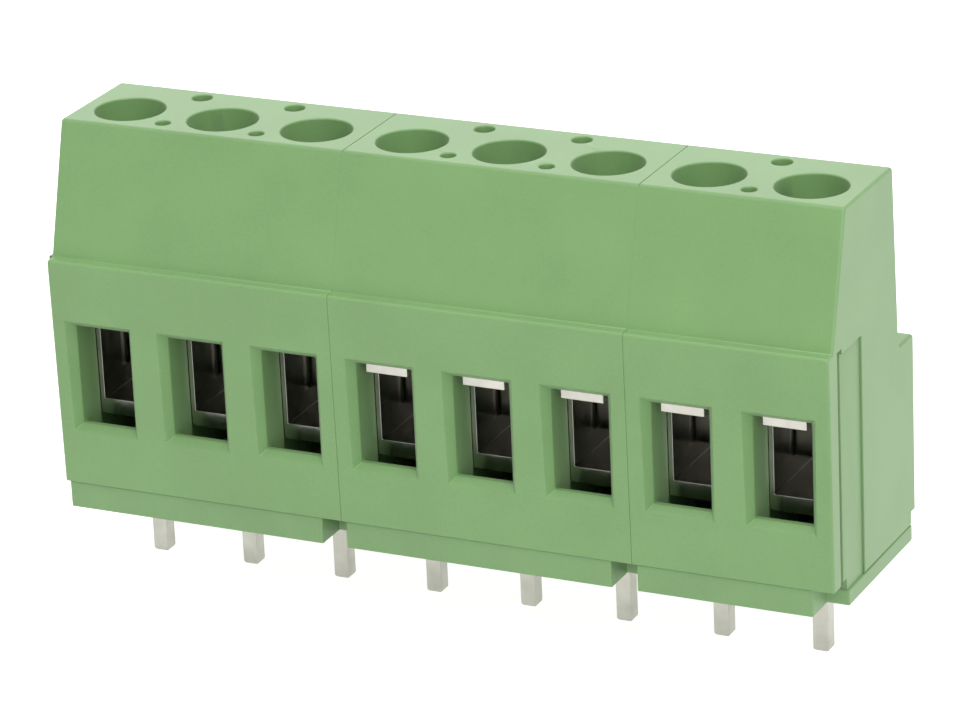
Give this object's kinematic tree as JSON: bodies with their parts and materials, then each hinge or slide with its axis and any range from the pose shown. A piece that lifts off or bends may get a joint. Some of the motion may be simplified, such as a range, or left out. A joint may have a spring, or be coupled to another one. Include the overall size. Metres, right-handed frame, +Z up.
{
  "type": "pcb screw terminal",
  "caption": "Green moulded terminal block for a circuit board: screws in the top lift metal cages that clamp wires entered from the front, above a row of solder pins.",
  "frame": {"origin": "middle of the row of solder pins, on the face that sits on the board", "axes": "+X along the row to the right seen from the wire side, +Y towards the rear, +Z up out of the board"},
  "size_m": [0.041, 0.0108, 0.0233],
  "materials": {
    "housing_plastic": "moulded green polyamide, fine matt",
    "cover_plastic": "moulded green polyamide, fine matt",
    "screw_steel": "zinc-plated steel",
    "cage_steel": "nickel-plated steel strip",
    "contact_tin": "tin-plated brass, dull silver"
  },
  "bodies": {
    "block": {"housing_left": "housing_plastic", "housing_middle": "housing_plastic", "housing_right": "housing_plastic", "base_cover_left": "cover_plastic", "base_cover_middle": "cover_plastic", "base_cover_right": "cover_plastic", "contact_1": "contact_tin", "contact_2": "contact_tin", "contact_3": "contact_tin", "contact_4": "contact_tin", "contact_5": "contact_tin", "contact_6": "contact_tin", "contact_7": "contact_tin", "contact_8": "contact_tin"},
    "screw_1": {"clamp_screw_1": "screw_steel"},
    "cage_1": {"clamp_cage_1": "cage_steel"},
    "screw_2": {"clamp_screw_2": "screw_steel"},
    "cage_2": {"clamp_cage_2": "cage_steel"},
    "screw_3": {"clamp_screw_3": "screw_steel"},
    "cage_3": {"clamp_cage_3": "cage_steel"},
    "screw_4": {"clamp_screw_4": "screw_steel"},
    "cage_4": {"clamp_cage_4": "cage_steel"},
    "screw_5": {"clamp_screw_5": "screw_steel"},
    "cage_5": {"clamp_cage_5": "cage_steel"},
    "screw_6": {"clamp_screw_6": "screw_steel"},
    "cage_6": {"clamp_cage_6": "cage_steel"},
    "screw_7": {"clamp_screw_7": "screw_steel"},
    "cage_7": {"clamp_cage_7": "cage_steel"},
    "screw_8": {"clamp_screw_8": "screw_steel"},
    "cage_8": {"clamp_cage_8": "cage_steel"}
  },
  "joints": [
    {"name": "screw_turn_1", "type": "hinge", "parent": "block", "child": "screw_1", "pos_m": [-0.01778, -0.00035, 0.01675], "axis": [0, 0, 1], "range_deg": [-3040, 120]},
    {"name": "cage_rise_1", "type": "slide", "parent": "block", "child": "cage_1", "axis": [0, 0, 1], "range_m": [-0.00015, 0.0038]},
    {"name": "screw_turn_2", "type": "hinge", "parent": "block", "child": "screw_2", "pos_m": [-0.0127, -0.00035, 0.01675], "axis": [0, 0, 1], "range_deg": [-3040, 120]},
    {"name": "cage_rise_2", "type": "slide", "parent": "block", "child": "cage_2", "axis": [0, 0, 1], "range_m": [-0.00015, 0.0038]},
    {"name": "screw_turn_3", "type": "hinge", "parent": "block", "child": "screw_3", "pos_m": [-0.00762, -0.00035, 0.01675], "axis": [0, 0, 1], "range_deg": [-3040, 120]},
    {"name": "cage_rise_3", "type": "slide", "parent": "block", "child": "cage_3", "axis": [0, 0, 1], "range_m": [-0.00015, 0.0038]},
    {"name": "screw_turn_4", "type": "hinge", "parent": "block", "child": "screw_4", "pos_m": [-0.00254, -0.00035, 0.01675], "axis": [0, 0, 1], "range_deg": [-3160, 0]},
    {"name": "cage_rise_4", "type": "slide", "parent": "block", "child": "cage_4", "axis": [0, 0, 1], "range_m": [0, 0.00395]},
    {"name": "screw_turn_5", "type": "hinge", "parent": "block", "child": "screw_5", "pos_m": [0.00254, -0.00035, 0.01675], "axis": [0, 0, 1], "range_deg": [-3160, 0]},
    {"name": "cage_rise_5", "type": "slide", "parent": "block", "child": "cage_5", "axis": [0, 0, 1], "range_m": [0, 0.00395]},
    {"name": "screw_turn_6", "type": "hinge", "parent": "block", "child": "screw_6", "pos_m": [0.00762, -0.00035, 0.01675], "axis": [0, 0, 1], "range_deg": [-3160, 0]},
    {"name": "cage_rise_6", "type": "slide", "parent": "block", "child": "cage_6", "axis": [0, 0, 1], "range_m": [0, 0.00395]},
    {"name": "screw_turn_7", "type": "hinge", "parent": "block", "child": "screw_7", "pos_m": [0.0127, -0.00035, 0.01675], "axis": [0, 0, 1], "range_deg": [-3160, 0]},
    {"name": "cage_rise_7", "type": "slide", "parent": "block", "child": "cage_7", "axis": [0, 0, 1], "range_m": [0, 0.00395]},
    {"name": "screw_turn_8", "type": "hinge", "parent": "block", "child": "screw_8", "pos_m": [0.01778, -0.00035, 0.01675], "axis": [0, 0, 1], "range_deg": [-3160, 0]},
    {"name": "cage_rise_8", "type": "slide", "parent": "block", "child": "cage_8", "axis": [0, 0, 1], "range_m": [0, 0.00395]}
  ],
  "couplings": [
    {"joint": "screw_turn_1", "follows": "cage_rise_1", "rad_per_m": -13963},
    {"joint": "screw_turn_2", "follows": "cage_rise_2", "rad_per_m": -13963},
    {"joint": "screw_turn_3", "follows": "cage_rise_3", "rad_per_m": -13963},
    {"joint": "screw_turn_4", "follows": "cage_rise_4", "rad_per_m": -13963},
    {"joint": "screw_turn_5", "follows": "cage_rise_5", "rad_per_m": -13963},
    {"joint": "screw_turn_6", "follows": "cage_rise_6", "rad_per_m": -13963},
    {"joint": "screw_turn_7", "follows": "cage_rise_7", "rad_per_m": -13963},
    {"joint": "screw_turn_8", "follows": "cage_rise_8", "rad_per_m": -13963}
  ]
}
